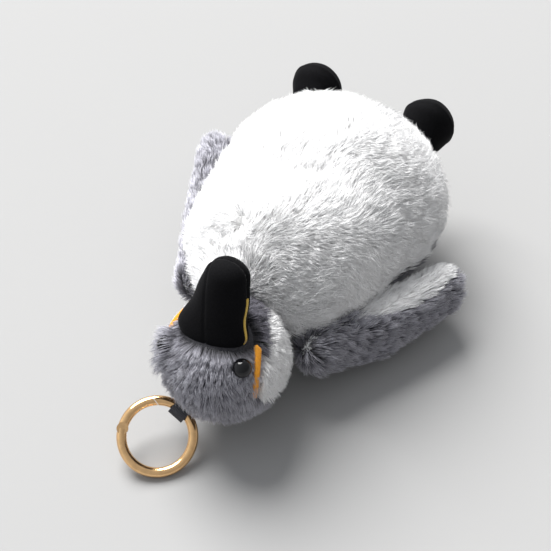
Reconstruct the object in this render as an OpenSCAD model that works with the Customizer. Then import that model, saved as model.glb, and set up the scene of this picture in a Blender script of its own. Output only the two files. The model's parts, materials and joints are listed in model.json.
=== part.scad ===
// Plush penguin keychain: a long-pile penguin lying on its back, belly up,
// with a spring-gate ring on a ribbon loop at its crown.
// Millimetres. +X is the penguin's right side, +Y runs from its crown to its feet, +Z is up.
// The origin is under the middle of the whole outline, on the surface that the penguin lies on.
// Plush surfaces are drawn over the lie of their pile.

/* [Torso] */
// width of the hips over the pile
hip_w = 88; // [60:1:120]
// length of the hip swelling, along the body
hip_len = 80; // [60:1:110]
// depth of the hips, back to belly
hip_depth = 72; // [50:1:100]
// width of the chest over the pile
chest_w = 74; // [50:1:110]
// length of the chest swelling, along the body
chest_len = 72; // [50:1:100]
// depth of the chest, back to belly
chest_depth = 66; // [50:1:100]
// distance from the hip centre to the chest centre
hip_to_chest = 31.5; // [20:0.5:50]
// how far the stuffed back is pressed flat where it lies
back_flat = 1.5; // [0:0.5:4]
// height of the side seam between the grey back and the white belly
side_seam_z = 24; // [10:1:40]
// thickness of the body plush with its pile lying down
plush_t = 4; // [2:0.5:6]

/* [Head] */
// diameter of the head over the pile
head_d = 45; // [30:1:70]
// distance from the hip centre to the head centre
hip_to_head = 81.5; // [60:0.5:110]
// height of the head centre when the penguin lies down
head_z = 29.5; // [20:0.5:45]
// turn of the face towards the penguin's left
head_turn = 11; // [0:1:20]
// thickness of the head plush with its pile lying down
head_plush_t = 3.2; // [2:0.1:5]
// distance of the cheek seam plane from the head centre
cheek_seam = 8.7; // [4:0.1:16]
// width of the orange trim strip
trim_w = 2; // [1:0.1:4]

/* [Beak] */
// width of the beak where it leaves the face
beak_w = 23; // [12:0.5:34]
// width of the beak near its tip
beak_tip_w = 15.4; // [8:0.2:24]
// length of the beak from base centre to tip centre
beak_len = 20; // [10:0.5:35]
// lean of the beak towards the feet
beak_lean = 22; // [0:1:45]
// thickness of the short-pile cloth of beak and feet
velboa_t = 1.2; // [0.6:0.1:2]
// width of the yellow stripe along each side of the beak
stripe_w = 1.2; // [0.6:0.1:2.5]

/* [Eyes] */
// diameter of the glossy dome
eye_d = 6.4; // [4:0.1:10]
// diameter of the post
eye_post_d = 2.4; // [1.5:0.1:4]
// diameter of the lock washer
washer_d = 9; // [6:0.5:14]

/* [Flippers] */
// length from shoulder seam to the middle of the rounded tip
flipper_len = 56; // [40:1:90]
// widest place of the flipper
flipper_w = 28; // [15:1:40]
// thickness of the stuffed flipper
flipper_t = 18; // [5:0.5:20]
// swing that the torso leaves room for
flipper_swing = 40; // [10:5:60]

/* [Feet] */
// width of a foot
foot_w = 21; // [12:0.5:32]
// height of a foot, base to toe
foot_h = 22; // [12:0.5:32]
// thickness of a foot, sole to top
foot_t = 15; // [8:0.5:24]
// distance between the middles of the two feet
foot_gap = 48; // [30:1:70]
// swing each way that the torso leaves room for
foot_swing = 12; // [5:1:20]

/* [Ring and ribbon] */
// outer diameter of the ring
ring_od = 28; // [20:0.5:40]
// diameter of the ring's wire
wire_d = 3.5; // [2.5:0.1:5]
// direction of the hinge, counted round the ring
hinge_at = 157; // [120:1:200]
// direction of the gate's free end, counted round the ring
gate_end_at = 85.4; // [60:0.2:110]
// swing of the gate
gate_swing = 26; // [10:1:40]
// direction of the ribbon loop, counted round the ring
loop_at = 38.4; // [0:0.2:60]
// swing of the loop and ring about the loop's sewn root
loop_swing = 30; // [10:5:60]
// width of the ribbon
ribbon_w = 6; // [4:0.5:12]
// thickness of one layer of ribbon
ribbon_t = 0.8; // [0.4:0.1:1.5]

/* [Hidden] */
gap = 0.1; // between two pieces sewn or packed together
play = 0.4; // between two soft pieces that move past each other
room = 0.8; // round a soft piece, in what it moves in
room_step = 10; // between two places of a flipper, where its room is cut
eps = 0.01;
big = 400;

// the middle of the whole outline, seen from the torso's own middle
outline_mid = [4, -24.3, 0];

hip_r = [hip_w, hip_len, hip_depth] / 2;
chest_r = [chest_w, chest_len, chest_depth] / 2;
hip_c = [2.5, 11.5, hip_r.z - back_flat] - outline_mid;
chest_c = [hip_c.x - 3.5, hip_c.y - hip_to_chest, chest_r.z];

head_r = head_d / 2;
head_c = [hip_c.x - 1, hip_c.y - hip_to_head, head_z];
fill_r = head_r - head_plush_t - gap;

// out of the right side, square to the face's middle plane
face_side = [cos(head_turn), 0, sin(head_turn)];
// a direction of the right side of the face, or its mirror image for the left
function on_face(s, v) = s > 0 ? v : v - 2 * (v * face_side) * face_side;

cheek_dir = [0.844, 0.506, -0.178]; // out of the right cheek
cheek_low_dir = [0, 0.54, 0.84]; // square to the cheek patch's lower edge
cheek_low = -3.9; // lower edge of the cheek patch, from the head centre
neck_strip_w = 8; // grey strip between the two cheek patches, at the neck

beak_base = [-2, -2, 17]; // base centre from the head centre
beak_base_r = [beak_w / 2, 7, 8];
beak_waist_r = [beak_w * 0.455, 7.5, 6];
beak_tip_r = [beak_tip_w / 2, 6.6, 6.6];
beak_aside = 0.05; // how far the tip leans to the right, per unit of length
beak_waist_at = 0.42; // of the beak's length
stripe_end_at = 0.8; // of the beak's length
beak_dir = [beak_aside, sin(beak_lean), cos(beak_lean)];
// square to the mouth line, towards the feet
beak_split = [sin(beak_lean) * sin(head_turn), cos(beak_lean), -sin(beak_lean) * cos(head_turn)];
beak_waist = beak_base + beak_waist_at * beak_len * beak_dir;
beak_tip = beak_base + beak_len * beak_dir;

eye_dir = [0.571, -0.487, 0.664]; // out through the right eye
eye_seat = head_r - 1.2; // where the dome's rim sits, from the head centre
eye_post = 9;
washer_t = 1.2;

// right, left
shoulder = [[25, -49, 21.5] - outline_mid, [-27, -42, 23] - outline_mid];
flipper_turn = [[-10, -6, -30], [3, -10, 18]];
flipper_seam_roll = [28, 0]; // of the seam about the flipper's length, so that white shows on top

foot_c = [foot_gap / 2, 54, 44.5] - outline_mid; // right foot; the left one is mirrored
foot_base = [foot_gap / 2 - 2, 46, 39] - outline_mid;

wire_r = wire_d / 2;
ring_r = ring_od / 2 - wire_r;
ring_tilt = 31.7;
ring_turn = 39.4;
ring_c = [-11.2, -97.2, ring_r * sin(ring_tilt) + wire_r + gap] - outline_mid;

pin_r = 0.5;
pin_play = 0.05;
knuckle_r = 2;
knuckle_h = 3;
tongue_t = 1.5;
tongue_arc = 16; // of wire that the tongue reaches into
slot_t = 1.7;
slot_play = 0.15; // round the tongue in its slot
end_slit = 0.2; // between the gate's free end and the ring
spring_r = 0.85;
spring_wire = 0.4;

loop_in_r = 2.85; // inside of the ribbon's bight
loop_lean = 25.7; // from the ring's plane to the ribbon
loop_len = 6.2; // bight centre to the sewn root
tail_len = 6;

grey = [0.47, 0.47, 0.50];
white = [0.95, 0.95, 0.94];
black = [0.06, 0.06, 0.07];
orange = [0.93, 0.55, 0.13];
yellow = [0.85, 0.65, 0.25];
fill = [0.97, 0.97, 0.97];
gold = [0.85, 0.65, 0.38];
steel = [0.7, 0.7, 0.72];
ribbon_grey = [0.3, 0.3, 0.32];

// ---- helpers ----

module ellipsoid(c, r, fn = 24) translate(c) scale(r) sphere(1, $fn = fn);

// what an ellipsoid's radii gain when its surface moves out by g
function grown(g) = [g, g, g];

// turns +Z to point along v
module aim(v) rotate([0, acos(v.z / norm(v)), atan2(v.y, v.x)]) children();

// everything on the side of a plane that its normal points to
module half(n, at = [0, 0, 0]) translate(at) aim(n) translate([-big / 2, -big / 2, 0]) cube(big);

// the same thing on the penguin's left, mirrored about the head's or the hips' middle plane
module on_side(s, x) translate([x, 0, 0]) scale_x(s) translate([-x, 0, 0]) children();
module scale_x(s) if (s > 0) children(); else mirror([1, 0, 0]) children();

// ---- torso ----

module torso_form(g) intersection() {
    hull() {
        ellipsoid(hip_c, hip_r + grown(g), 32);
        ellipsoid(chest_c, chest_r + grown(g), 32);
    }
    translate([-big / 2, -big / 2, -g]) cube(big);
}

// the room that head, flippers and feet take out of the torso, through their whole swing
module torso_rooms() {
    translate(head_c) sphere(head_r + play, $fn = 64);
    for (i = [0, 1], a = [0 : room_step : flipper_swing])
        translate(shoulder[i]) rotate([0, 0, i == 0 ? -a : a]) flipper_form(i, room, 18);
    for (s = [1, -1], a = [-foot_swing, 0, foot_swing]) foot_form(s, room, a, 18);
}

module torso_shell() difference() {
    torso_form(0);
    torso_form(-plush_t);
    torso_rooms();
}

module back_panel() color(grey) intersection() {
    torso_shell();
    half([0, 0, -1], [0, 0, side_seam_z]);
}

module belly_panel() color(white) intersection() {
    torso_shell();
    half([0, 0, 1], [0, 0, side_seam_z]);
}

module body_stuffing() color(fill) difference() {
    torso_form(-plush_t - gap);
    torso_rooms();
}

// ---- head ----

function cheek_out(s) = on_face(s, cheek_dir);

// each cheek stops short of the head's middle plane, where the two would meet in the neck
module cheek_zone(s, inset) intersection() {
    half(cheek_out(s), cheek_out(s) * (cheek_seam + inset));
    half(on_face(s, cheek_low_dir), on_face(s, cheek_low_dir) * cheek_low);
    half(face_side * s, face_side * s * neck_strip_w / 2);
}

module plush_ball() difference() {
    sphere(head_r, $fn = 144);
    sphere(head_r - head_plush_t, $fn = 144);
}

module head_skin() color(grey) translate(head_c) difference() {
    plush_ball();
    for (s = [1, -1]) {
        cheek_zone(s, -trim_w);
        eye_room(s);
    }
    translate(-head_c) loop_room();
}

module cheek(s) color(white) translate(head_c) difference() {
    intersection() {
        plush_ball();
        cheek_zone(s, 0);
    }
    translate(-head_c) loop_room();
}

module trim(s) color(orange) translate(head_c) difference() {
    intersection() {
        plush_ball();
        cheek_zone(s, -trim_w);
        half(-cheek_out(s), cheek_out(s) * cheek_seam);
    }
    eye_room(s);
}

module head_stuffing() color(fill) translate(head_c) difference() {
    sphere(fill_r, $fn = 144);
    for (s = [1, -1]) {
        eye_room(s);
        aim_eye(s) translate([0, 0, washer_z - gap])
            cylinder(r = washer_d / 2 + gap, h = washer_t + 2 * gap, $fn = 48);
    }
    translate(-head_c) ribbon_place() tail_form(gap);
    translate(-head_c) loop_room();
}

// ---- beak: frames are the head's own ----

module beak_lobe(c, r) translate(c) rotate([0, -head_turn, 0]) ellipsoid([0, 0, 0], r);

module beak_form(g) hull() {
    beak_lobe(beak_base, beak_base_r + grown(g));
    beak_lobe(beak_waist, beak_waist_r + grown(g));
    beak_lobe(beak_tip, beak_tip_r + grown(g));
}

module beak_cloth() difference() {
    beak_form(0);
    beak_form(-velboa_t);
    sphere(head_r + gap, $fn = 96);
}

module stripe_zone(s) intersection() {
    half(beak_split, beak_base - beak_split * stripe_w / 2);
    half(-beak_split, beak_base + beak_split * stripe_w / 2);
    half(-beak_dir, beak_base + beak_dir * beak_len * stripe_end_at);
    half(face_side * s, beak_base);
}

module beak_half(side) translate(head_c) difference() {
    intersection() {
        beak_cloth();
        half(beak_split * side, beak_base);
    }
    stripe_zone(1);
    stripe_zone(-1);
}

module beak_upper() color(black) beak_half(-1);
module beak_lower() color(black) beak_half(1);

module beak_stripe(s) color(yellow) translate(head_c) intersection() {
    beak_cloth();
    stripe_zone(s);
}

module beak_stuffing() color(fill) translate(head_c) difference() {
    beak_form(-velboa_t - gap);
    sphere(head_r + gap, $fn = 96);
}

// ---- eyes ----

washer_z = fill_r - eye_seat - washer_t - 1;
dome_sunk = 0.8; // of the dome, under its seat

module aim_eye(s) aim(on_face(s, eye_dir)) translate([0, 0, eye_seat]) children();

// the room for the dome and its post, drilled in from outside
module eye_room(s) aim_eye(s) {
    translate([0, 0, -dome_sunk - gap]) cylinder(r = eye_d / 2 + gap, h = eye_d, $fn = 48);
    translate([0, 0, -eye_post - gap]) cylinder(r = eye_post_d / 2 + gap, h = eye_post, $fn = 32);
}

module eye(s) color(black) translate(head_c) aim_eye(s) {
    intersection() {
        sphere(eye_d / 2, $fn = 48);
        translate([0, 0, eye_d / 2 - dome_sunk]) cube(eye_d, center = true);
    }
    translate([0, 0, -eye_post]) cylinder(r = eye_post_d / 2, h = eye_post, $fn = 32);
}

module eye_washer(s) color(white) translate(head_c) aim_eye(s) difference() {
    translate([0, 0, washer_z]) cylinder(r = washer_d / 2, h = washer_t, $fn = 48);
    translate([0, 0, -2 * eye_post]) cylinder(r = eye_post_d / 2 + gap / 2, h = 3 * eye_post, $fn = 32);
}

// ---- flippers: length along +Y from the shoulder, width along Z, thickness along X ----

// radii and centres of the three swellings, as shares of the driving sizes
flipper_root_r = [flipper_t * 0.39, flipper_t * 0.39, flipper_w * 0.34];
flipper_mid = [0, flipper_len * 0.48, 0];
flipper_mid_r = [flipper_t / 2, flipper_len * 0.25, flipper_w / 2];
flipper_tip_lift = 6; // the tip is bent up
flipper_tip = [0, flipper_len, flipper_tip_lift];
flipper_tip_r = [flipper_t * 0.44, flipper_w * 0.27, flipper_w * 0.43];
flipper_cloth_t = 2; // with its pile lying down

module flipper_form(i, g, fn = 24) rotate(flipper_turn[i]) hull() {
    ellipsoid([0, 0, 0], flipper_root_r + grown(g), fn);
    ellipsoid(flipper_mid, flipper_mid_r + grown(g), fn);
    ellipsoid(flipper_tip, flipper_tip_r + grown(g), fn);
}

// out of the outer face, which is away from the body: +X on the right flipper, -X on the left
function flipper_out(i) = [(i == 0 ? 1 : -1) * cos(flipper_seam_roll[i]), 0, -sin(flipper_seam_roll[i])];

module flipper_cloth(i, face) translate(shoulder[i]) intersection() {
    difference() {
        flipper_form(i, 0);
        flipper_form(i, -flipper_cloth_t);
    }
    rotate(flipper_turn[i]) half(flipper_out(i) * face);
}

module flipper_outer(i) color(grey) flipper_cloth(i, 1);
module flipper_inner(i) color(white) flipper_cloth(i, -1);
module flipper_stuffing(i) color(fill) translate(shoulder[i]) flipper_form(i, -flipper_cloth_t - gap);

// ---- feet ----

foot_r = [foot_w, foot_t, foot_h] / 2;
// the foot is drawn in where it is sewn on
foot_base_r = [foot_w * 0.38, foot_t * 0.33, foot_h * 0.4];

module foot_form(s, g, a = 0, fn = 24) on_side(s, -outline_mid.x)
    translate(foot_base) rotate([a, 0, 0]) translate(-foot_base) hull() {
        ellipsoid(foot_c, foot_r + grown(g), fn);
        ellipsoid(foot_base, foot_base_r + grown(g), fn);
    }

// the sole faces away from the torso
module foot_cloth(s, side) intersection() {
    difference() {
        foot_form(s, 0);
        foot_form(s, -velboa_t);
    }
    half([0, side, 0], foot_c);
}

module foot_top(s) color(black) foot_cloth(s, -1);
module foot_sole(s) color(black) foot_cloth(s, 1);
module foot_stuffing(s) color(fill) foot_form(s, -velboa_t - gap);

// ---- ring: frames lie in the ring's plane, Z along its axis ----

module ring_place() translate(ring_c) rotate([ring_tilt, 0, ring_turn]) children();
module at_hinge() rotate([0, 0, hinge_at]) translate([ring_r, 0, 0]) children();

gate_reach = 2 * ring_r * sin((hinge_at - gate_end_at) / 2);

module wire_arc(from, to) rotate([0, 0, from])
    rotate_extrude(angle = to - from, $fn = 96) translate([ring_r, 0]) circle(r = wire_r, $fn = 48);

module disc(r, h) translate([0, 0, -h / 2]) cylinder(r = r, h = h, $fn = 48);

// the wire near the gate's free end, which both sides cut along an arc about the hinge,
// so that the gate can swing
end_zone_r = wire_d * 1.6;
end_zone_arc = 12; // of wire each way, a little inside the zone
module end_zone() rotate([0, 0, gate_end_at]) translate([ring_r, 0, 0]) sphere(end_zone_r, $fn = 32);

module ring_body() color(gold) ring_place() difference() {
    union() {
        wire_arc(hinge_at, gate_end_at + 360 - end_zone_arc);
        difference() {
            intersection() {
                wire_arc(gate_end_at - end_zone_arc - 1, gate_end_at + end_zone_arc + 2);
                end_zone();
            }
            at_hinge() disc(gate_reach + end_slit, 2 * wire_d);
        }
        at_hinge() disc(knuckle_r, knuckle_h);
    }
    at_hinge() {
        disc(knuckle_r + slot_play, slot_t);
        disc(pin_r, 2 * knuckle_h);
    }
}

module ring_gate() color(gold) ring_place() difference() {
    union() {
        difference() {
            intersection() {
                wire_arc(gate_end_at - end_zone_arc - 1, hinge_at);
                at_hinge() disc(gate_reach, 2 * wire_d);
            }
            at_hinge() disc(knuckle_r + slot_play, 2 * wire_d);
        }
        intersection() {
            wire_arc(hinge_at - tongue_arc, hinge_at);
            disc(ring_od, tongue_t);
        }
        at_hinge() disc(knuckle_r - slot_play, tongue_t);
    }
    at_hinge() {
        disc(pin_r + pin_play, 2 * knuckle_h);
        disc(spring_r + spring_wire, 2 * spring_wire + 3 * gap);
    }
}

module gate_pin() color(gold) ring_place() at_hinge() disc(pin_r, knuckle_h + 3 * gap);

module gate_spring() color(steel) ring_place() at_hinge() for (z = [-0.5, 0.5])
    translate([0, 0, z * (spring_wire + eps)])
        rotate_extrude($fn = 48) translate([spring_r, 0]) circle(r = spring_wire / 2, $fn = 24);

// ---- ribbon: X runs from the middle of the wire to the sewn root, Y across the ribbon ----

module ribbon_place() ring_place() rotate([0, 0, loop_at]) translate([ring_r, 0, 0])
    rotate([0, -loop_lean, 0]) children();

module ribbon_slab(w) rotate([90, 0, 0]) translate([0, 0, -w / 2]) linear_extrude(w) children();

module loop_outline(g) hull() {
    circle(r = loop_in_r + ribbon_t + g, $fn = 48);
    translate([loop_len, 0]) circle(r = ribbon_t + g, $fn = 24);
}

module ribbon_loop() color(ribbon_grey) ribbon_place() ribbon_slab(ribbon_w) difference() {
    loop_outline(0);
    hull() {
        circle(r = loop_in_r, $fn = 48);
        translate([loop_len - 3 * ribbon_t, 0]) circle(r = ribbon_t / 4, $fn = 24);
    }
}

// both ends of the ribbon, sewn flat on each other inside the head
tail_at = loop_len + ribbon_t + play;
module tail_form(g) ribbon_slab(ribbon_w + 2 * g)
    translate([tail_at - g, -ribbon_t - g])
        square([tail_len + 2 * g, 2 * (ribbon_t + g)]);

module ribbon_tail() color(ribbon_grey) ribbon_place() tail_form(0);

// the pocket in the crown for the loop, through its whole swing upwards
loop_room_r = loop_in_r + ribbon_t + play;
module loop_room() ribbon_place() ribbon_slab(ribbon_w + 2 * play) polygon([
    [-loop_len, -loop_room_r],
    [tail_at, -loop_room_r],
    [tail_at, 0],
    [loop_len, loop_room_r + play],
    [-loop_len * cos(loop_swing), loop_room_r + play + 2 * loop_len * sin(loop_swing)]
]);

// ---- one sub-part at a time ----

back_panel();
belly_panel();
body_stuffing();
head_skin();
head_stuffing();
cheek(1);  // cheek_right
cheek(-1);  // cheek_left
trim(1);  // trim_right
trim(-1);  // trim_left
beak_upper();
beak_lower();
beak_stuffing();
beak_stripe(1);  // beak_stripe_right
beak_stripe(-1);  // beak_stripe_left
eye(1);  // eye_right
eye(-1);  // eye_left
eye_washer(1);  // eye_washer_right
eye_washer(-1);  // eye_washer_left
flipper_outer(0);  // flipper_right_outer
flipper_inner(0);  // flipper_right_inner
flipper_stuffing(0);  // flipper_right_stuffing
flipper_outer(1);  // flipper_left_outer
flipper_inner(1);  // flipper_left_inner
flipper_stuffing(1);  // flipper_left_stuffing
foot_top(1);  // foot_right_top
foot_sole(1);  // foot_right_sole
foot_stuffing(1);  // foot_right_stuffing
foot_top(-1);  // foot_left_top
foot_sole(-1);  // foot_left_sole
foot_stuffing(-1);  // foot_left_stuffing
ribbon_tail();
ribbon_loop();
ring_body();
gate_pin();
ring_gate();
gate_spring();
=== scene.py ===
"""Looks for a plush penguin keychain that lies on its back.

It has long-pile fur on the body, short-pile cloth on the beak and feet, and a gold ring. Every hair is a
closed tapered strand of mesh. Everything is in metres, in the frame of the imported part.
"""

import json
import math

import bmesh
import bpy
import numpy as np
from mathutils import Matrix, Vector
from mathutils.kdtree import KDTree


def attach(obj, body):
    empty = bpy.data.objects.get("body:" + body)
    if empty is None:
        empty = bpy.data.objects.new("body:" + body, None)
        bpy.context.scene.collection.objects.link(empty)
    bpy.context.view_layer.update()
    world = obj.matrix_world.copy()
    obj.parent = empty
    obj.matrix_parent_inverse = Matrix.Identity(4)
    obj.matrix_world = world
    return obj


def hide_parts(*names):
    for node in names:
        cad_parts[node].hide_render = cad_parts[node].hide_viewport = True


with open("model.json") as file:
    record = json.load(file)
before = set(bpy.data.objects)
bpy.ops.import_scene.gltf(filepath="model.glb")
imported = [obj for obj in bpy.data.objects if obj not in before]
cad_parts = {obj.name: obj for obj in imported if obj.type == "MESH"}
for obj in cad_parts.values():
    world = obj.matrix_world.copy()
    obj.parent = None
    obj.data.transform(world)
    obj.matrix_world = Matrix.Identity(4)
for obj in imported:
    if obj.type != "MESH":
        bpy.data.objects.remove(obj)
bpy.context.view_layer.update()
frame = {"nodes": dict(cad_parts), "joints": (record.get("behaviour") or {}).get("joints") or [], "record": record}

MM = 0.001
JOINTS = {joint["name"]: joint for joint in frame["joints"]}
MOUNTS = {mount["name"]: mount for mount in frame["record"]["mounts"]}
SIDES = {"right": 1, "left": -1}


def joint_at(name):
    return Vector(JOINTS[name]["pos_m"])


def joint_axis(name):
    return Vector(JOINTS[name]["axis"]).normalized()


# ---- the part's own sizes ----

HIP_R = Vector((44, 40, 36)) * MM
CHEST_R = Vector((37, 36, 33)) * MM
BACK_FLAT = 1.5 * MM
HIP = Vector(MOUNTS["rest_face"]["pos_m"]) + Vector((0, 0, HIP_R.z - BACK_FLAT))
CHEST = Vector((HIP.x - 3.5 * MM, HIP.y - 31.5 * MM, CHEST_R.z))
SIDE_SEAM_Z = 24 * MM
WHITE_PILE_Z = 28 * MM  # the back's darker pile stands up over the seam to here, so a dark strip of painted shade shows along the side under the belly's edge
BODY_PILE = 3.9 * MM  # from the skin to the outline of the fur

HEAD = joint_at("neck_nod")
HEAD_R = 22.5 * MM
HEAD_PILE = 3.1 * MM
NECK_ROOM = HEAD_R - 1.5 * MM  # the torso's skin and pile stop here, round the head's centre
FACE_TURN = math.radians(11)
FACE_SIDE = Vector((math.cos(FACE_TURN), 0, math.sin(FACE_TURN)))  # square to the face's middle plane
CHEEK_OUT = Vector((0.844, 0.506, -0.178))
CHEEK_LOW = Vector((0, 0.54, 0.84))
CHEEK_SEAM = 8.7 * MM
CHEEK_LOW_AT = -3.9 * MM
TRIM_W = 2 * MM
TRIM_FELT = 0.8  # of that width, and the pile's tips lean over the rest
TRIM_RISE = 2.6 * MM  # the felt stands on edge, nearly as high as the pile
# The zone of darker pile that paints the shade at the neck, where the head meets the chest on the side away from
# the window.
NECK_SHADE_Y = -2 * MM  # from the head's centre
NECK_SHADE_Z = 4 * MM
NECK_STRIP = 4 * MM

BEAK_LEAN = math.radians(22)
BEAK_LEN = 20 * MM
BEAK_OUT = Vector((0.05, math.sin(BEAK_LEAN), math.cos(BEAK_LEAN)))
MOUTH_OUT = Vector((0, math.cos(BEAK_LEAN), -math.sin(BEAK_LEAN)))
BEAK_SPLIT = Matrix.Rotation(-FACE_TURN, 3, "Y") @ MOUTH_OUT
BEAK_BASE = HEAD + Vector((-2, -2, 17)) * MM
BEAK_ASIDE = Vector((0.8, 0, 0)) * MM
BEAK_BASE_R = Vector((12.9, 7.2, 8)) * MM
BEAK_WAIST_R = Vector((10.5, 7.5, 6)) * MM
BEAK_TIP_R = Vector((7.7, 6.6, 6.6)) * MM
BEAK_WAIST_AT = 0.42  # of the beak's length
BEAK_WAIST_IN = 1.1 * MM
BEAK_RIM_R = np.array([12.6, 7.6, 1000])  # in mm: where the head's pile stops, at any depth
STRIPE_W = 0.8 * MM
STRIPE_T = 0.5 * MM
STRIPE_RISE = 0.35 * MM  # above the beak's cloth
STRIPE_END = 0.8  # of the beak's length

EYE_OUT = Vector((0.571, -0.487, 0.664))
EYE_R = 3.2 * MM
EYE_CLEAR = 0.3 * MM
BROW_LEN = {"right": 4.5 * MM, "left": 7.8 * MM}  # of the pile that hangs over the eye
BROW_REACH = {"right": 4.5 * MM, "left": 7 * MM}

FLIPPER_LEN = 56 * MM
FLIPPER_W = 28 * MM
FLIPPER_T = 18 * MM
FLIPPER_PILE = 1.9 * MM
FLIPPER_TIP_LIFT = 6 * MM
FLIPPER_BLADE_AT = 0.48  # of the length, where it is widest
FLIPPER_TURN = {"right": (-10, -6, -30), "left": (3, -10, 18)}
FLIPPER_SEAM_ROLL = {"right": 28, "left": -25}
FLIPPER_WHITE_MIDDLE = 0.6  # of the length, where the white reaches furthest out
FLIPPER_SEAM_BOW = 7 * MM  # how far the seam runs back half a length from there

FOOT_R = Vector((10.5, 7.5, 11)) * MM
FOOT_BASE_R = Vector((8, 5, 8.8)) * MM
FOOT_FROM_BASE = Vector((2, 8, 5.5)) * MM
FOOT_ROOM = 10 * MM  # the torso's skin stops here, round the foot's root

RING_R = 12.25 * MM  # to the middle of the wire
RIBBON_W = 6 * MM
RIBBON_T = 0.8 * MM
RIB_STEP = 0.14 * MM
RIB_RISE = 0.06 * MM
RIB_INSET = 0.08 * MM  # keeps the ribs within the ribbon's thickness
EDGE_NOTCH = 0.05 * MM
BIGHT_R = 2.85 * MM
BIGHT_STEPS = 28
LOOP_LEN = 6.2 * MM

BACKING_T = 0.5 * MM  # of a skin under long pile
CLOTH_T = 0.9 * MM  # of the short-pile cloth
FLOOR_CLEAR = 0.6 * MM  # the torso's skin keeps this far above the floor


# ---- meshes ----


def unit(rows):
    return rows / np.maximum(np.linalg.norm(rows, axis=-1, keepdims=True), 1e-12)


def add_object(name, mesh, material):
    piece = bpy.data.objects.new(name, mesh)
    bpy.context.scene.collection.objects.link(piece)
    piece.data.materials.append(material)
    return piece


def baked(piece):
    """Puts the result of the piece's modifiers in its mesh."""
    graph = bpy.context.evaluated_depsgraph_get()
    mesh = bpy.data.meshes.new_from_object(piece.evaluated_get(graph))
    piece.modifiers.clear()
    piece.data = mesh
    return piece


def stuffed_form(name, lobes, voxel, place=Matrix.Identity(4), inset=0.0, turn=0.0):
    """A closed skin drawn tight over a few ellipsoids, each a centre and its radii, turned about Y."""
    turned = Matrix.Rotation(turn, 4, "Y")
    shape = bmesh.new()
    for centre, radii in lobes:
        scale = Matrix.Diagonal([r - inset for r in radii] + [1])
        bmesh.ops.create_icosphere(
            shape, subdivisions=4, radius=1, matrix=place @ Matrix.Translation(centre) @ turned @ scale
        )
    hull = bmesh.ops.convex_hull(shape, input=shape.verts)
    inside = [g for g in hull["geom_interior"] if isinstance(g, bmesh.types.BMVert)]
    bmesh.ops.delete(shape, geom=inside, context="VERTS")
    mesh = bpy.data.meshes.new(name)
    shape.to_mesh(mesh)
    shape.free()
    piece = bpy.data.objects.new(name, mesh)
    bpy.context.scene.collection.objects.link(piece)
    remesh = piece.modifiers.new("remesh", "REMESH")
    remesh.mode = "VOXEL"
    remesh.voxel_size = voxel
    smooth = piece.modifiers.new("smooth", "SMOOTH")
    smooth.iterations = 6
    mesh = baked(piece).data
    bpy.data.objects.remove(piece)
    return mesh


def points_of(mesh):
    points = np.empty(len(mesh.vertices) * 3)
    normals = np.empty(len(mesh.vertices) * 3)
    mesh.vertices.foreach_get("co", points)
    mesh.vertices.foreach_get("normal", normals)
    return points.reshape(-1, 3), normals.reshape(-1, 3)


def moved(mesh, change):
    """A copy of the mesh whose points went through change(points, normals)."""
    result = mesh.copy()
    points, normals = points_of(mesh)
    result.vertices.foreach_set("co", change(points, normals).ravel())
    result.update()
    return result


def panel(name, body, material, mesh, thickness, cuts=(), outside=()):
    """The part of a form beyond each plane of cuts and outside each ball of outside, as a closed shell."""
    shape = bmesh.new()
    shape.from_mesh(mesh)
    for at, towards in cuts:
        geometry = shape.verts[:] + shape.edges[:] + shape.faces[:]
        bmesh.ops.bisect_plane(shape, geom=geometry, plane_co=at, plane_no=towards, clear_inner=True)
    for centre, radius in outside:
        near = [f for f in shape.faces if (f.calc_center_median() - centre).length < radius]
        bmesh.ops.delete(shape, geom=near, context="FACES")
    shell = bpy.data.meshes.new(name)
    shape.to_mesh(shell)
    shape.free()
    piece = add_object(name, shell, material)
    solid = piece.modifiers.new("solid", "SOLIDIFY")
    solid.thickness = thickness
    solid.offset = -1
    baked(piece)
    piece.data.polygons.foreach_set("use_smooth", [True] * len(piece.data.polygons))
    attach(piece, body)
    return piece


def raised(distance):
    """A change for moved() that lifts the points off the form."""

    def change(points, normals):
        return points + distance * normals

    return change


def seam_groove(depth, spread, plane_at, plane_out):
    """A change for moved() that sinks a seam along a plane, or raises it where the depth is below 0."""

    def change(points, normals):
        away = (points - np.array(plane_at)) @ np.array(plane_out)
        return points - depth * np.exp(-((away / spread) ** 2))[:, None] * normals

    return change


def drawn_in(depth, spread, plane_at, plane_out):
    """A change for moved() that draws the beak's sides in along a plane across it."""

    def change(points, normals):
        away = (points - np.array(plane_at)) @ np.array(plane_out)
        sideways = (normals @ np.array(FACE_SIDE))[:, None] * np.array(FACE_SIDE)
        return points - depth * np.exp(-((away / spread) ** 2))[:, None] * sideways

    return change


def puckers(depth, size, seed):
    """A change for moved() that makes the stuffed cloth a little uneven."""

    def change(points, normals):
        uneven = wave_noise(points, size, seed)[:, :1]
        return points + depth * uneven * normals

    return change


# ---- fur ----

FUR_SHARE = 1.0
MOST_STRANDS = 12000  # in one piece
LEVELS = np.array([0.0, 0.38, 0.72, 1.0])  # of a strand's length, where it has a ring of points
LEVEL_WIDTHS = np.array([0.8, 1.0, 0.72])  # of a strand's width, at each ring before the tip
CROSSWAYS = np.array([0.31, 0.57, 0.76])  # a direction that few strands follow
SIDE_SHADES = [0.0, 0.02, 0.04]  # the three sides of a strand differ this much
SHADE_RANGE = (0.02, 0.94)
SHADE_STRAY = 0.16
LOCK_STRAY = 0.22  # of a lock's nap
RISE_STRAY = 7  # degrees
FALL_STRAY = 6  # degrees
LOCK_LENGTHS = (0.8, 1.15)  # the least and the most, of the pile's length
STRAND_LENGTHS = (0.75, 1.1)  # of its lock's length
GATHER_SHARES = (0.3, 1.1)  # of the pull towards the middle of the lock
GATHER_CURVE = 1.6  # strands gather more at their tips
LEAST_HEIGHT = 0.25 * MM  # of a hair above the floor
HEIGHT_STRAY = 0.4 * MM


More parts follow.
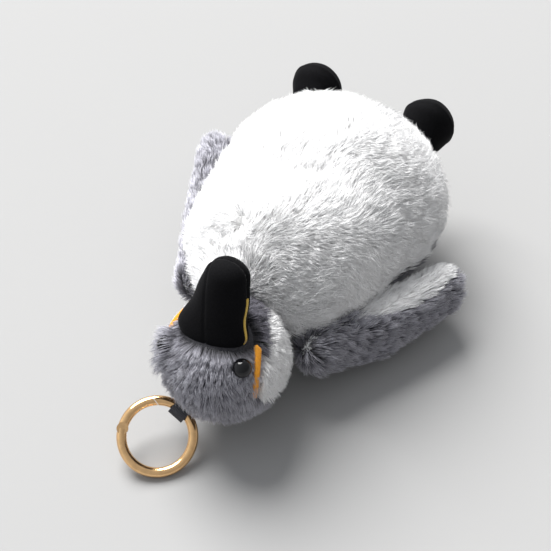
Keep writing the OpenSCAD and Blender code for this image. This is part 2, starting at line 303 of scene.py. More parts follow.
def wave_noise(points, size, seed, waves=7):
    """Smooth vectors that change over about the given size."""
    random = np.random.default_rng(seed)
    total = np.zeros_like(points)
    for _ in range(waves):
        across = unit(random.normal(size=(3, 3))).T * (2 * math.pi / size * random.uniform(0.5, 1.2))
        total += np.sin(points @ across + random.uniform(0, 2 * math.pi, 3))
    return total / math.sqrt(waves)


def scatter(mesh, per_mm2, seed):
    """Random points on the mesh, even by area, with their normals."""
    mesh.calc_loop_triangles()
    corners = np.empty(len(mesh.loop_triangles) * 3, dtype=np.int64)
    mesh.loop_triangles.foreach_get("vertices", corners)
    points, normals = points_of(mesh)
    corners = corners.reshape(-1, 3)
    a, b, c = (points[corners[:, k]] for k in range(3))
    area = np.linalg.norm(np.cross(b - a, c - a), axis=1) / 2
    random = np.random.default_rng(seed)
    count = int(area.sum() / MM**2 * per_mm2 * FUR_SHARE)
    chosen = random.choice(len(area), size=count, p=area / area.sum())
    u, v = np.sqrt(random.random(count)), random.random(count)
    weights = np.stack([1 - u, u * (1 - v), u * v], axis=1)
    where = np.einsum("nk,nkd->nd", weights, points[corners[chosen]])
    facing = unit(np.einsum("nk,nkd->nd", weights, normals[corners[chosen]]))
    return where, facing


def along_surface(vectors, normals):
    flat = vectors - np.sum(vectors * normals, axis=1, keepdims=True) * normals
    return unit(flat)


def strand_lines(roots, normals, nap, length, rise, fall):
    """Each strand's points: it leaves the skin at rise degrees from the normal and ends at fall degrees."""
    line = [roots]
    for low, high in zip(LEVELS, LEVELS[1:]):
        angle = np.radians(rise + (fall - rise) * (low + high) / 2)[:, None]
        step = length[:, None] * (high - low)
        line.append(line[-1] + step * (np.cos(angle) * normals + np.sin(angle) * nap))
    return np.stack(line, axis=1)


def nearest(points, centres):
    tree = KDTree(len(centres))
    for i, centre in enumerate(centres):
        tree.insert(centre, i)
    tree.balance()
    return np.array([tree.find(point)[1] for point in points])


def fur(name, body, material, mesh, nap_of, keep, seed, per_mm2, length, rise, fall, width=0.3 * MM,
        lock=2.4 * MM, pull=0.5, stray=0.16, swirl=0.5, swirl_size=18 * MM):
    """Covers a form with strands, lying in locks along the nap, in as many pieces as it takes.

    rise and fall are a strand's angles from the normal at its root and its tip, in degrees, and rise may be a
    function of the root. lock is the size of a lock, and pull is how much its strands gather. stray and swirl
    are how much a strand and the nap turn away.
    """
    roots, normals = scatter(mesh, per_mm2, seed)
    kept = keep(roots)
    roots, normals = roots[kept], normals[kept]
    random = np.random.default_rng(seed + 1)
    count = len(roots)
    nap = unit(nap_of(roots)) + swirl * wave_noise(roots, swirl_size, seed + 2)
    nap = along_surface(nap, normals)
    rise = rise(roots) if callable(rise) else np.full(count, float(rise))

    lock_count = max(8, int(count / (per_mm2 * FUR_SHARE * (lock / MM) ** 2)))
    locks = random.choice(count, size=lock_count, replace=False)
    lock_of = nearest(roots, roots[locks])
    lock_nap = along_surface(nap[locks] + LOCK_STRAY * random.normal(size=(lock_count, 3)), normals[locks])
    lock_rise = rise[locks] + RISE_STRAY * random.normal(size=lock_count)
    lock_length = length * random.uniform(*LOCK_LENGTHS, lock_count)
    lock_lines = strand_lines(roots[locks], normals[locks], lock_nap, lock_length, lock_rise, fall)

    turned_nap = 0.5 * nap + 0.5 * lock_nap[lock_of] + stray * random.normal(size=(count, 3))
    own_nap = along_surface(turned_nap, normals)
    own_length = lock_length[lock_of] * random.uniform(*STRAND_LENGTHS, count)
    own_rise = 0.5 * (lock_rise[lock_of] + rise) + RISE_STRAY * random.normal(size=count)
    own_fall = fall + FALL_STRAY * random.normal(size=count)
    lines = strand_lines(roots, normals, own_nap, own_length, own_rise, own_fall)
    own_pull = pull * random.uniform(*GATHER_SHARES, count)
    towards = LEVELS[None, :, None] ** GATHER_CURVE * own_pull[:, None, None]
    lines += towards * (lock_lines[lock_of] - lines)
    least_height = LEAST_HEIGHT + HEIGHT_STRAY * random.random(count)
    lines[:, :, 2] = np.maximum(lines[:, :, 2], least_height[:, None])

    own_shade = 0.5 + SHADE_STRAY * random.normal(size=count)
    lock_shade = SHADE_STRAY * random.normal(size=lock_count)
    shade = np.clip(own_shade + lock_shade[lock_of], *SHADE_RANGE)
    for part, start in enumerate(range(0, count, MOST_STRANDS)):
        some = slice(start, start + MOST_STRANDS)
        label = name if count <= MOST_STRANDS else f"{name}_{part + 1}"
        piece = add_object(label, strand_mesh(label, lines[some], shade[some], width), material)
        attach(piece, body)


def strand_mesh(name, lines, shade, width):
    """One mesh of closed three-sided strands. Its UV map holds the strand's shade and the place along it."""
    count, levels = lines.shape[0], lines.shape[1]
    ahead = unit(np.gradient(lines, axis=1))
    first = unit(np.cross(ahead, CROSSWAYS))
    second = np.cross(ahead, first)
    thick = width / 2 * LEVEL_WIDTHS
    sides = []
    for side in range(3):
        turn = 2 * math.pi * side / 3
        offset = math.cos(turn) * first[:, :-1] + math.sin(turn) * second[:, :-1]
        sides.append(lines[:, :-1] + offset * thick[None, :, None])
    ring_points = np.stack(sides, axis=2).reshape(count, -1, 3)
    points = np.concatenate([ring_points, lines[:, -1:]], axis=1)
    per_strand = points.shape[1]
    tip = per_strand - 1

    quads = []
    for level in range(levels - 2):
        for side in range(3):
            here, there = level * 3 + side, level * 3 + (side + 1) % 3
            quads.append([here, there, there + 3, here + 3])
    last = (levels - 2) * 3
    ends = [[last + side, last + (side + 1) % 3, tip] for side in range(3)] + [[2, 1, 0]]
    offsets = (np.arange(count) * per_strand)[:, None, None]
    quads = (np.array(quads)[None] + offsets).reshape(-1)
    ends = (np.array(ends)[None] + offsets).reshape(-1)
    loops = np.concatenate([quads, ends])
    starts = np.concatenate([np.arange(0, len(quads), 4), len(quads) + np.arange(0, len(ends), 3)])

    mesh = bpy.data.meshes.new(name)
    mesh.vertices.add(count * per_strand)
    mesh.vertices.foreach_set("co", points.ravel())
    mesh.loops.add(len(loops))
    mesh.loops.foreach_set("vertex_index", loops)
    mesh.polygons.add(len(starts))
    mesh.polygons.foreach_set("loop_start", starts)
    mesh.polygons.foreach_set("use_smooth", np.ones(len(starts), dtype=bool))
    mesh.update(calc_edges=True)

    side_shift = np.append(np.tile(SIDE_SHADES, levels - 1), SIDE_SHADES[1])
    point_shade = shade[:, None] + side_shift[None]
    place_along = np.append(np.repeat(LEVELS[:-1], 3), 1.0)
    uv_of_point = np.stack([point_shade, np.tile(place_along, (count, 1))], axis=2).reshape(-1, 2)
    layer = mesh.uv_layers.new(name="OFBake")
    layer.uv.foreach_set("vector", uv_of_point[loops].astype(np.float32).ravel())
    return mesh


# ---- materials ----


def new_material(name, roughness, color=(0.8, 0.8, 0.8), **constants):
    """A material, its nodes, links and shader. Each constant is named for its input, with _ for spaces."""
    material = bpy.data.materials.new(name)
    material.use_nodes = True
    shader = material.node_tree.nodes["Principled BSDF"]
    shader.inputs["Base Color"].default_value = (*color, 1)
    shader.inputs["Roughness"].default_value = roughness
    for socket, value in constants.items():
        shader.inputs[socket.replace("_", " ")].default_value = value
    return material, material.node_tree.nodes, material.node_tree.links, shader


def ramp(nodes, stops):
    node = nodes.new("ShaderNodeValToRGB")
    elements = node.color_ramp.elements
    while len(elements) < len(stops):
        elements.new(0.5)
    for element, (position, color) in zip(elements, stops):
        element.position = position
        element.color = (*color, 1)
    return node


def grain_noise(nodes, links, size, detail):
    """Noise of the given size, fixed to the object."""
    coordinates = nodes.new("ShaderNodeTexCoord")
    noise = nodes.new("ShaderNodeTexNoise")
    noise.inputs["Scale"].default_value = 1 / size
    noise.inputs["Detail"].default_value = detail
    links.new(coordinates.outputs["Object"], noise.inputs["Vector"])
    return noise


def fur_material(name, root, middle, tip, vary, sheen):
    """Colour runs from a strand's root to its tip, and from strand to strand."""
    material, nodes, links, shader = new_material(
        name, 0.7, Sheen_Weight=sheen, Sheen_Roughness=0.4, Specular_IOR_Level=0.12
    )
    coordinates = nodes.new("ShaderNodeUVMap")
    coordinates.uv_map = "OFBake"
    split = nodes.new("ShaderNodeSeparateXYZ")
    links.new(coordinates.outputs["UV"], split.inputs["Vector"])
    along = ramp(nodes, [(0.0, root), (0.45, middle), (1.0, tip)])
    links.new(split.outputs["Y"], along.inputs["Fac"])
    strand = ramp(nodes, [(0.0, (1 - vary,) * 3), (1.0, (1, 1, 1))])
    links.new(split.outputs["X"], strand.inputs["Fac"])
    product = nodes.new("ShaderNodeMix")
    product.data_type = "RGBA"
    product.blend_type = "MULTIPLY"
    product.inputs["Factor"].default_value = 1
    links.new(along.outputs["Color"], product.inputs["A"])
    links.new(strand.outputs["Color"], product.inputs["B"])
    links.new(product.outputs["Result"], shader.inputs["Base Color"])
    return material


def cloth_material(name, dark, light, grain, bump, roughness=0.8, sheen=0.3, specular=0.2):
    """A cloth with a fine grain of the given size, mottled and bumpy."""
    material, nodes, links, shader = new_material(
        name, roughness, Sheen_Weight=sheen, Sheen_Roughness=0.35, Specular_IOR_Level=specular
    )
    noise = grain_noise(nodes, links, grain, 4)
    colors = ramp(nodes, [(0.3, dark), (0.7, light)])
    links.new(noise.outputs["Fac"], colors.inputs["Fac"])
    links.new(colors.outputs["Color"], shader.inputs["Base Color"])
    uneven = nodes.new("ShaderNodeBump")
    uneven.inputs["Distance"].default_value = bump
    uneven.inputs["Strength"].default_value = 0.6
    links.new(noise.outputs["Fac"], uneven.inputs["Height"])
    links.new(uneven.outputs["Normal"], shader.inputs["Normal"])
    return material


def metal_material(name, color, roughness, scratch):
    """A polished metal with faint wear: its roughness and colour vary a little over the surface."""
    material, nodes, links, shader = new_material(name, roughness, color, Metallic=1.0)
    noise = grain_noise(nodes, links, scratch, 6)
    worn = ramp(nodes, [(0.35, (roughness * 0.7,) * 3), (0.7, (roughness * 1.6,) * 3)])
    links.new(noise.outputs["Fac"], worn.inputs["Fac"])
    links.new(worn.outputs["Color"], shader.inputs["Roughness"])
    darker = tuple(channel * 0.86 for channel in color)
    tint = ramp(nodes, [(0.3, darker), (0.6, color)])
    links.new(noise.outputs["Fac"], tint.inputs["Fac"])
    links.new(tint.outputs["Color"], shader.inputs["Base Color"])
    return material


def eye_material():
    """Black gloss with a little haze."""
    material, nodes, links, shader = new_material(
        "eye_gloss", 0.06, (0.003, 0.003, 0.004), Coat_Weight=0.15, Specular_IOR_Level=0.25
    )
    noise = grain_noise(nodes, links, 1.5 * MM, 2)
    haze = ramp(nodes, [(0.4, (0.04,) * 3), (0.8, (0.12,) * 3)])
    links.new(noise.outputs["Fac"], haze.inputs["Fac"])
    links.new(haze.outputs["Color"], shader.inputs["Roughness"])
    return material


WHITE_FUR = fur_material(
    "white_fur", root=(0.93, 0.93, 0.925), middle=(0.97, 0.97, 0.97), tip=(0.98, 0.98, 0.985),
    vary=0.04, sheen=0.15,
)
GREY_FUR = fur_material(
    "grey_fur", root=(0.055, 0.055, 0.062), middle=(0.25, 0.247, 0.278), tip=(0.73, 0.725, 0.8),
    vary=0.32, sheen=0.2,
)
# Darker pile for the right side of the neck, where the head meets the chest away from the window: its darkness
# beyond the head's grey is painted shade.
NECK_SHADE_FUR = fur_material(
    "neck_shade_fur", root=(0.02, 0.02, 0.024), middle=(0.06, 0.06, 0.07), tip=(0.34, 0.33, 0.39),
    vary=0.5, sheen=0.1,
)
# Grey pile of the back, painted darker than the grey of the head and flippers: the extra darkness is painted shade
# for the underside and the gap under the belly's edge.
SHADED_BACK_FUR = fur_material(
    "back_shaded_fur", root=(0.05, 0.05, 0.055), middle=(0.12, 0.118, 0.13), tip=(0.32, 0.315, 0.345),
    vary=0.35, sheen=0.1,
)
WHITE_SKIN = cloth_material(
    "white_backing", (0.88, 0.88, 0.875), (0.95, 0.95, 0.945), grain=0.5 * MM, bump=0.1 * MM
)
GREY_SKIN = cloth_material(
    "grey_backing", (0.02, 0.02, 0.024), (0.05, 0.05, 0.056), grain=0.5 * MM, bump=0.1 * MM
)
ORANGE_SKIN = cloth_material(
    "orange_felt", (0.62, 0.23, 0.02), (0.9, 0.4, 0.04), grain=0.5 * MM, bump=0.1 * MM
)
VELBOA = cloth_material(
    "black_velboa", (0.001, 0.001, 0.0013), (0.004, 0.004, 0.005), grain=0.35 * MM, bump=0.12 * MM,
    roughness=0.85, sheen=0.02, specular=0.08,
)
PIPING = cloth_material(
    "yellow_piping", (0.45, 0.3, 0.05), (0.75, 0.52, 0.12), grain=0.3 * MM, bump=0.05 * MM
)
FIBRE = cloth_material(
    "fibre_fill", (0.7, 0.7, 0.7), (0.92, 0.92, 0.92), grain=1.2 * MM, bump=0.6 * MM, roughness=0.9
)
RIBBON = cloth_material(
    "grosgrain", (0.02, 0.02, 0.024), (0.07, 0.07, 0.08), grain=0.25 * MM, bump=0.08 * MM,
    roughness=0.7, sheen=0.2,
)
WASHER = cloth_material(
    "washer_plastic", (0.75, 0.75, 0.73), (0.85, 0.85, 0.83), grain=0.8 * MM, bump=0.02 * MM,
    roughness=0.45, sheen=0.0,
)
GOLD = metal_material("polished_gold", (0.83, 0.53, 0.26), roughness=0.14, scratch=2.5 * MM)
STEEL = metal_material("spring_steel", (0.6, 0.6, 0.62), roughness=0.3, scratch=0.8 * MM)
EYE = eye_material()

CAD_MATERIALS = {
    "eye_right": EYE,
    "eye_left": EYE,
    "eye_washer_right": WASHER,
    "eye_washer_left": WASHER,
    "ring_body": GOLD,
    "ring_gate": GOLD,
    "gate_pin": GOLD,
    "gate_spring": STEEL,
    "ribbon_tail": RIBBON,
}
for node_name in frame["nodes"]:
    if node_name.endswith("stuffing"):
        CAD_MATERIALS[node_name] = FIBRE
for node_name, finish in CAD_MATERIALS.items():
    for material_slot in frame["nodes"][node_name].material_slots:
        material_slot.material = finish


# ---- camera, floor and light ----

CAMERA_FROM_HIP = Vector((106.1, -254.7, 279.4)) * MM
CAMERA_TILT = math.radians(40)
CAMERA_HEADING = math.radians(27)
CAMERA_VIEW = math.radians(30)
FLOOR_REACH = 15.0
FLOOR_COLOR = (0.315, 0.315, 0.314)
WINDOW_AT = Vector((-3.1, 2.1, 4.5))
WINDOW_SIZE = 4.4
WINDOW_POWER = 900
WINDOW_COLOR = (1.0, 0.99, 0.98)
ROOM_LIGHT = [  # from the window's side of the room to the far side
    (0.0, (1.3, 1.33, 1.38)),
    (0.5, (0.75, 0.77, 0.8)),
    (0.85, (0.55, 0.55, 0.56)),
    (1.0, (0.5, 0.5, 0.5)),
]
ROOM_STRENGTH = 0.8


def make_camera():
    camera = bpy.data.objects.new("camera", bpy.data.cameras.new("camera"))
    camera.data.angle = CAMERA_VIEW
    camera.data.clip_start = 0.01
    camera.location = HIP + CAMERA_FROM_HIP
    camera.rotation_euler = (CAMERA_TILT, 0, CAMERA_HEADING)
    bpy.context.scene.collection.objects.link(camera)
    bpy.context.scene.camera = camera


def make_floor():
    mesh = bpy.data.meshes.new("floor")
    corners = [(x * FLOOR_REACH, y * FLOOR_REACH, 0) for x, y in ((-1, -1), (1, -1), (1, 1), (-1, 1))]
    mesh.from_pydata(corners, [], [(0, 1, 2, 3)])
    material, *_ = new_material("floor", 0.95, FLOOR_COLOR, Specular_IOR_Level=0.1)
    add_object("floor", mesh, material)


def make_window():
    light = bpy.data.lights.new("window", "AREA")
    light.shape = "DISK"
    light.size = WINDOW_SIZE
    light.energy = WINDOW_POWER
    light.color = WINDOW_COLOR
    lamp = bpy.data.objects.new("window", light)
    lamp.location = WINDOW_AT
    lamp.rotation_euler = (WINDOW_AT - HIP).to_track_quat("Z", "Y").to_euler()
    bpy.context.scene.collection.objects.link(lamp)


def make_world():
    """Soft light from all round, brighter on the window's side."""
    world = bpy.data.worlds.new("world")
    bpy.context.scene.world = world
    world.use_nodes = True
    nodes, links = world.node_tree.nodes, world.node_tree.links
    background = nodes["Background"]
    coordinates = nodes.new("ShaderNodeTexCoord")
    split = nodes.new("ShaderNodeSeparateXYZ")
    links.new(coordinates.outputs["Generated"], split.inputs["Vector"])
    room = ramp(nodes, ROOM_LIGHT)
    scaled = nodes.new("ShaderNodeMapRange")
    scaled.inputs["From Min"].default_value = -1
    links.new(split.outputs["X"], scaled.inputs["Value"])
    links.new(scaled.outputs["Result"], room.inputs["Fac"])
    links.new(room.outputs["Color"], background.inputs["Color"])
    background.inputs["Strength"].default_value = ROOM_STRENGTH


make_camera()
make_floor()
make_world()
make_window()
bpy.context.scene.view_settings.view_transform = "Standard"
bpy.context.scene.cycles.max_bounces = 16
bpy.context.scene.cycles.diffuse_bounces = 12


# ---- torso ----

BELLY_PILE = dict(
    per_mm2=6.2, length=8.0 * MM, rise=46, fall=76, width=0.23 * MM,
    lock=2.6 * MM, pull=0.3, stray=0.34, swirl=0.7, swirl_size=30 * MM,
)
BACK_PILE = dict(per_mm2=2.4, length=8.0 * MM, rise=35, fall=84, width=0.4 * MM)
NAP_START = CHEST + Vector((-4, -26, 4)) * MM  # the body's pile lies away from here
BELLY_NAP_DOWN = 0.25
BACK_NAP_TAILWARD = 0.5


def above_floor(points, normals):
    """A change for moved() that keeps the skin off the floor."""
    result = points.copy()
    result[:, 2] = np.maximum(points[:, 2], FLOOR_CLEAR)
    return result


def outside_neck(points):
    return np.linalg.norm(points - np.array(HEAD), axis=1) > NECK_ROOM


def on_belly(points):
    return outside_neck(points) & (points[:, 2] > WHITE_PILE_Z)


def on_back(points):
    return outside_neck(points) & (points[:, 2] <= WHITE_PILE_Z)


def belly_nap(points):
    nap = unit(points - np.array(NAP_START))
    nap[:, 2] -= BELLY_NAP_DOWN
    return nap


def back_nap(points):
    nap = unit(points - np.array(NAP_START))
    nap[:, 1] += BACK_NAP_TAILWARD
    return nap


def make_torso():
    form = stuffed_form("torso_form", [(HIP, HIP_R), (CHEST, CHEST_R)], voxel=2.2 * MM, inset=BODY_PILE)
    form = moved(form, above_floor)
    seam = Vector((0, 0, SIDE_SEAM_Z))
    rooms = [(HEAD, NECK_ROOM)] + [(joint_at(f"foot_{label}_wag"), FOOT_ROOM) for label in SIDES]
    belly = panel("belly_backing", "torso", WHITE_SKIN, form, BACKING_T, [(seam, (0, 0, 1))], rooms)
    back = panel("back_backing", "torso", GREY_SKIN, form, BACKING_T, [(seam, (0, 0, -1))], rooms)
    for piece, node, slot in ((belly, "belly_panel", "plush_white"), (back, "back_panel", "plush_grey")):
        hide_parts(node)
    fur("belly_fur", "torso", WHITE_FUR, form, belly_nap, on_belly, seed=11, **BELLY_PILE)
    # painted shade: the back's pile is darker than its own grey and reaches up past the seam
    fur("back_shaded_fur", "torso", SHADED_BACK_FUR, form, back_nap, on_back, seed=12, **BACK_PILE)


# ---- head ----

HEAD_LOCKS = dict(width=0.2 * MM, lock=1.3 * MM, pull=0.45, stray=0.12, swirl=0.2, swirl_size=12 * MM)
CHEEK_LOCKS = dict(width=0.22 * MM, lock=1.8 * MM, stray=0.12, swirl=0.2)
RISE_AT_BEAK = 68  # degrees from the normal, where the pile starts flat along the skin
RISE_ON_FACE = 32
RISE_REACH = 0.8  # from the one to the other, in radii of the beak's rim
ON_SKIN, ON_TRIM, ON_CHEEK = 0, 1, 2


def on_face(side, towards):
    """A direction of the right side of the face, or its mirror image on the left."""
    return towards if side > 0 else towards.reflect(FACE_SIDE)


def eye_at(side):
    return np.array(HEAD + on_face(side, EYE_OUT).normalized() * HEAD_R)


def head_zone(points, side):
    """Whether each point is on the grey skin or on the orange trim or white cheek of one side."""
    local = points - np.array(HEAD)
    outwards = local @ np.array(on_face(side, CHEEK_OUT))
    above = local @ np.array(on_face(side, CHEEK_LOW)) > CHEEK_LOW_AT
    patch = above & (local @ np.array(FACE_SIDE) * side > NECK_STRIP)
    trim = patch & (outwards > CHEEK_SEAM - TRIM_W)
    cheek = patch & (outwards > CHEEK_SEAM)
    return np.where(cheek, ON_CHEEK, np.where(trim, ON_TRIM, ON_SKIN))


def face_zone(points):
    """The zone of each point, of either side."""
    return np.maximum(head_zone(points, 1), head_zone(points, -1))


def in_neck_shade(points):
    """Where darker pile, painted shade at the neck on the side away from the window, hangs over the trim."""
    local = points - np.array(HEAD)
    return (local[:, 1] > NECK_SHADE_Y) & (local[:, 2] > NECK_SHADE_Z) & (local @ np.array(FACE_SIDE) > 0)


def beak_distance(points):
    """1 on the rim of the beak's base and more outside it."""
    turned = np.array(Matrix.Rotation(FACE_TURN, 3, "Y"))
    local = (points - np.array(BEAK_BASE)) @ turned.T
    return np.linalg.norm(local / BEAK_RIM_R / MM, axis=1)


def away_from_beak(points):
    return unit(points - np.array(BEAK_BASE))


def rise_near_beak(points):
    away = np.clip((beak_distance(points) - 1) / RISE_REACH, 0, 1)
    return RISE_AT_BEAK - (RISE_AT_BEAK - RISE_ON_FACE) * away


def clear_of_eyes(points):
    """Where neither an eye nor the beak stands."""
    clear = beak_distance(points) > 1
    for side in SIDES.values():
        clear &= np.linalg.norm(points - eye_at(side), axis=1) > EYE_R + EYE_CLEAR
    return clear


def on_crown(points):
    return (face_zone(points) == ON_SKIN) & clear_of_eyes(points) & ~in_neck_shade(points)


def on_neck_shade(points):
    return (face_zone(points) < ON_CHEEK) & clear_of_eyes(points) & in_neck_shade(points)


def make_brow(label, ball):
    """Longer pile that hangs over one eye."""
    side = SIDES[label]

    def round_eye(points):
        near = np.linalg.norm(points - eye_at(side), axis=1) < BROW_REACH[label]
        return near & clear_of_eyes(points)

    fur(f"brow_{label}_fur", "head", GREY_FUR, ball, away_from_beak, round_eye, seed=51 + side,
        per_mm2=7.0, length=BROW_LEN[label], rise=18, fall=66, **HEAD_LOCKS)


def make_cheek(label, ball):
    """The white patch on one side of the face, and the felt band along its edge."""
    side = SIDES[label]
    out = on_face(side, CHEEK_OUT).normalized()
    upwards = on_face(side, CHEEK_LOW).normalized()
    seam = HEAD + out * CHEEK_SEAM
    low = HEAD + upwards * CHEEK_LOW_AT
    inner = HEAD + FACE_SIDE * side * NECK_STRIP
    edges = [(low, upwards), (inner, FACE_SIDE * side)]
    patch = moved(ball, raised(BACKING_T / 2))
    cheek = panel(f"cheek_{label}_backing", "head", WHITE_SKIN, patch, BACKING_T, [(seam, out)] + edges)
    trim_start = HEAD + out * (CHEEK_SEAM - TRIM_FELT * TRIM_W)
    trim_edges = [(trim_start, out), (seam, -out)] + edges
    if label == "right":
        trim_edges.append((HEAD + Vector((0, NECK_SHADE_Y, 0)), (0, -1, 0)))  # the darker pile painted as the neck's shade takes its place
    band = moved(ball, raised(TRIM_RISE))
    trim = panel(f"trim_{label}_felt", "head", ORANGE_SKIN, band, TRIM_RISE, trim_edges)
    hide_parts(f"cheek_{label}")
    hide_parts(f"trim_{label}")

    def on_cheek(points):
        return head_zone(points, side) == ON_CHEEK

    fur(f"cheek_{label}_fur", "head", WHITE_FUR, ball, away_from_beak, on_cheek, seed=31 + side,
        per_mm2=8.0, length=5.6 * MM, rise=42, fall=74, **CHEEK_LOCKS)


def make_head():
    ball = stuffed_form("head_form", [(HEAD, (HEAD_R,) * 3)], voxel=1.2 * MM, inset=HEAD_PILE)
    skin = panel("head_backing", "head", GREY_SKIN, ball, BACKING_T)
    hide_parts("head_skin")
    fur("head_fur", "head", GREY_FUR, ball, away_from_beak, on_crown, seed=21,
        per_mm2=9.0, length=5.6 * MM, rise=rise_near_beak, fall=70, **HEAD_LOCKS)
    for label in SIDES:
        make_brow(label, ball)
    # painted shade: darker pile at the neck, on the right side only, away from the window
    fur("neck_shade_fur", "head", NECK_SHADE_FUR, ball, away_from_beak, on_neck_shade, seed=22,
        per_mm2=9.0, length=5.4 * MM, rise=34, fall=70, **HEAD_LOCKS)
    for label in SIDES:
        make_cheek(label, ball)


# ---- beak ----


def make_beak():
    waist = BEAK_BASE + BEAK_WAIST_AT * BEAK_LEN * BEAK_OUT
    tip = BEAK_BASE + BEAK_LEN * BEAK_OUT
    lobes = [(BEAK_BASE - BEAK_ASIDE, BEAK_BASE_R), (waist, BEAK_WAIST_R), (tip, BEAK_TIP_R)]
    form = stuffed_form("beak_form", lobes, voxel=0.6 * MM, turn=-FACE_TURN)
    waist_spread = 0.25 * BEAK_LEN
    form = moved(form, drawn_in(BEAK_WAIST_IN, waist_spread, waist, BEAK_OUT))
    form = moved(form, puckers(depth=0.12 * MM, size=7 * MM, seed=51))
    form = moved(form, seam_groove(0.5 * MM, spread=0.7 * MM, plane_at=BEAK_BASE, plane_out=BEAK_SPLIT))
    ridge = moved(form, seam_groove(0.35 * MM, spread=0.45 * MM, plane_at=BEAK_BASE, plane_out=FACE_SIDE))
    inside_head = [(HEAD, HEAD_R - HEAD_PILE - BACKING_T)]
    upper_cut = [(BEAK_BASE, -BEAK_SPLIT)]
    lower_cut = [(BEAK_BASE, BEAK_SPLIT)]
    upper = panel("beak_upper_cloth", "head", VELBOA, ridge, CLOTH_T, upper_cut, inside_head)
    lower = panel("beak_lower_cloth", "head", VELBOA, form, CLOTH_T, lower_cut, inside_head)
    for piece, node in ((upper, "beak_upper"), (lower, "beak_lower")):
        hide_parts(node)
    half_stripe = BEAK_SPLIT * STRIPE_W / 2
    stripe_end = BEAK_BASE + BEAK_OUT * BEAK_LEN * STRIPE_END
    proud = moved(form, raised(STRIPE_RISE))
    for label, side in SIDES.items():
        cuts = [
            (BEAK_BASE - half_stripe, BEAK_SPLIT),
            (BEAK_BASE + half_stripe, -BEAK_SPLIT),
            (stripe_end, -BEAK_OUT),
            (BEAK_BASE, FACE_SIDE * side),
        ]
        stripe = panel(f"beak_stripe_{label}_piping", "head", PIPING, proud, STRIPE_T, cuts, inside_head)
        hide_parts(f"beak_stripe_{label}")


# ---- flippers ----

FLIPPER_LOCKS = dict(width=0.24 * MM, lock=2.0 * MM, pull=0.4, stray=0.15, swirl=0.35, swirl_size=15 * MM)


def make_flipper(label):
    side = SIDES[label]
    body = f"flipper_{label}"
    pitch, roll, turn = (math.radians(angle) for angle in FLIPPER_TURN[label])
    turned = Matrix.Rotation(turn, 4, "Z") @ Matrix.Rotation(roll, 4, "Y") @ Matrix.Rotation(pitch, 4, "X")
    place = Matrix.Translation(joint_at(f"flipper_{label}_flap")) @ turned
    shoulder_r = Vector((FLIPPER_T * 0.39, FLIPPER_T * 0.39, FLIPPER_W * 0.34))
    blade_r = Vector((FLIPPER_T / 2, FLIPPER_LEN * 0.25, FLIPPER_W / 2))
    tip_r = Vector((FLIPPER_T * 0.44, FLIPPER_W * 0.27, FLIPPER_W * 0.43))
    lobes = [
        (Vector((0, 0, 0)), shoulder_r),
        (Vector((0, FLIPPER_LEN * FLIPPER_BLADE_AT, 0)), blade_r),
        (Vector((0, FLIPPER_LEN, FLIPPER_TIP_LIFT)), tip_r),
    ]
    form = stuffed_form(f"{body}_form", lobes, voxel=1.2 * MM, place=place, inset=FLIPPER_PILE)
    roll_of_seam = math.radians(FLIPPER_SEAM_ROLL[label])
    outwards = (turned @ Vector((side * math.cos(roll_of_seam), 0, -math.sin(roll_of_seam)))).to_3d()
    length_way = np.array((turned @ Vector((0, 1, 0))).to_3d())
    origin = place.to_translation()
    outer = panel(f"{body}_outer_backing", body, GREY_SKIN, form, BACKING_T, [(origin, outwards)])
    inner = panel(f"{body}_inner_backing", body, WHITE_SKIN, form, BACKING_T, [(origin, -outwards)])
    for piece, node, slot in ((outer, "outer", "plush_grey"), (inner, "inner", "plush_white")):
        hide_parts(f"{body}_{node}")

    def on_outer(points):
        local = points - np.array(origin)
        from_middle = (local @ length_way / FLIPPER_LEN - FLIPPER_WHITE_MIDDLE) / 0.5
        return local @ np.array(outwards) > -FLIPPER_SEAM_BOW * from_middle**2

    def on_inner(points):
        return ~on_outer(points)

    def to_tip(points):
        return np.tile(length_way, (len(points), 1))

    fur(f"{body}_outer_fur", body, GREY_FUR, form, to_tip, on_outer, seed=61 + side,
        per_mm2=5.6, length=6.0 * MM, rise=52, fall=84, **FLIPPER_LOCKS)
    fur(f"{body}_inner_fur", body, WHITE_FUR, form, to_tip, on_inner, seed=71 + side,
        per_mm2=5.0, length=5.0 * MM, rise=56, fall=84, **FLIPPER_LOCKS)


# ---- feet ----


def make_foot(label):
    """A short-pile foot in two halves, with a raised seam between them."""
    side = SIDES[label]
    body = f"foot_{label}"
    base = joint_at(f"foot_{label}_wag")
    middle = base + Vector((FOOT_FROM_BASE.x * side, FOOT_FROM_BASE.y, FOOT_FROM_BASE.z))
    form = stuffed_form(f"{body}_form", [(middle, FOOT_R), (base, FOOT_BASE_R)], voxel=0.6 * MM)
    form = moved(form, puckers(depth=0.12 * MM, size=6 * MM, seed=81 + side))
    form = moved(form, seam_groove(-0.3 * MM, spread=0.5 * MM, plane_at=middle, plane_out=(0, 1, 0)))
    for node, towards in (("top", (0, -1, 0)), ("sole", (0, 1, 0))):
        piece = panel(f"{body}_{node}_cloth", body, VELBOA, form, CLOTH_T, [(middle, towards)])
        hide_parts(f"{body}_{node}")


# ---- ribbon ----


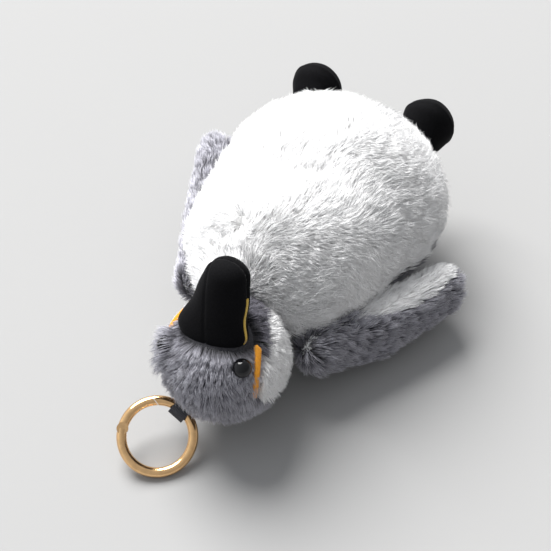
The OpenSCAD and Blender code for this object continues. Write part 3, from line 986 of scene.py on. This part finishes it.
def ribbon_path():
    """The ribbon's middle line in its own plane, in short steps from its root round the wire and back."""
    radius = BIGHT_R + RIBBON_T / 2
    lean = math.acos((radius - RIBBON_T / 2) / LOOP_LEN)
    corners = [(LOOP_LEN, RIBBON_T / 2)]
    for step in range(BIGHT_STEPS + 1):
        angle = lean + (2 * math.pi - 2 * lean) * step / BIGHT_STEPS
        corners.append((radius * math.cos(angle), radius * math.sin(angle)))
    corners.append((LOOP_LEN, -RIBBON_T / 2))
    points = []
    for (x0, y0), (x1, y1) in zip(corners, corners[1:]):
        steps = max(1, round(math.hypot(x1 - x0, y1 - y0) / RIB_STEP))
        points += [(x0 + (x1 - x0) * k / steps, y0 + (y1 - y0) * k / steps) for k in range(steps)]
    points.append(corners[-1])
    return points


def make_ribbon():
    """A flat ribbon with fine ribs across it."""
    root = joint_at("loop_swing")
    across = joint_axis("loop_swing")
    ring = joint_at("ring_turn")
    ring_axis = joint_axis("ring_turn")
    out = root - ring
    out = (out - out.dot(ring_axis) * ring_axis).normalized()
    bight = ring + out * RING_R
    along = (root - bight).normalized()
    up = along.cross(across)
    path = ribbon_path()
    verts = []
    for i, (x, y) in enumerate(path):
        x0, y0 = path[max(i - 1, 0)]
        x1, y1 = path[min(i + 1, len(path) - 1)]
        run = math.hypot(x1 - x0, y1 - y0)
        nx, ny = (y1 - y0) / run, -(x1 - x0) / run
        rib = RIB_RISE if i % 4 < 2 else -RIB_RISE
        half = RIBBON_T / 2 - RIB_INSET + rib
        edge = RIBBON_W / 2 - EDGE_NOTCH * (i % 2)
        for face, end in ((1, 1), (1, -1), (-1, -1), (-1, 1)):
            at = bight + along * (x + nx * half * face)
            verts.append(at + up * (y + ny * half * face) + across * (edge * end))
    last = 4 * (len(path) - 1)
    faces = []
    for start in range(0, last, 4):
        for k in range(4):
            a, b = start + k, start + (k + 1) % 4
            faces.append((a, b, b + 4, a + 4))
    faces += [(3, 2, 1, 0), (last, last + 1, last + 2, last + 3)]
    mesh = bpy.data.meshes.new("ribbon_weave")
    mesh.from_pydata(verts, [], faces)
    piece = add_object("ribbon_weave", mesh, RIBBON)
    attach(piece, "loop")
    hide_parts("ribbon_loop")


make_torso()
make_head()
make_beak()
for side_name in SIDES:
    make_flipper(side_name)
    make_foot(side_name)
make_ribbon()
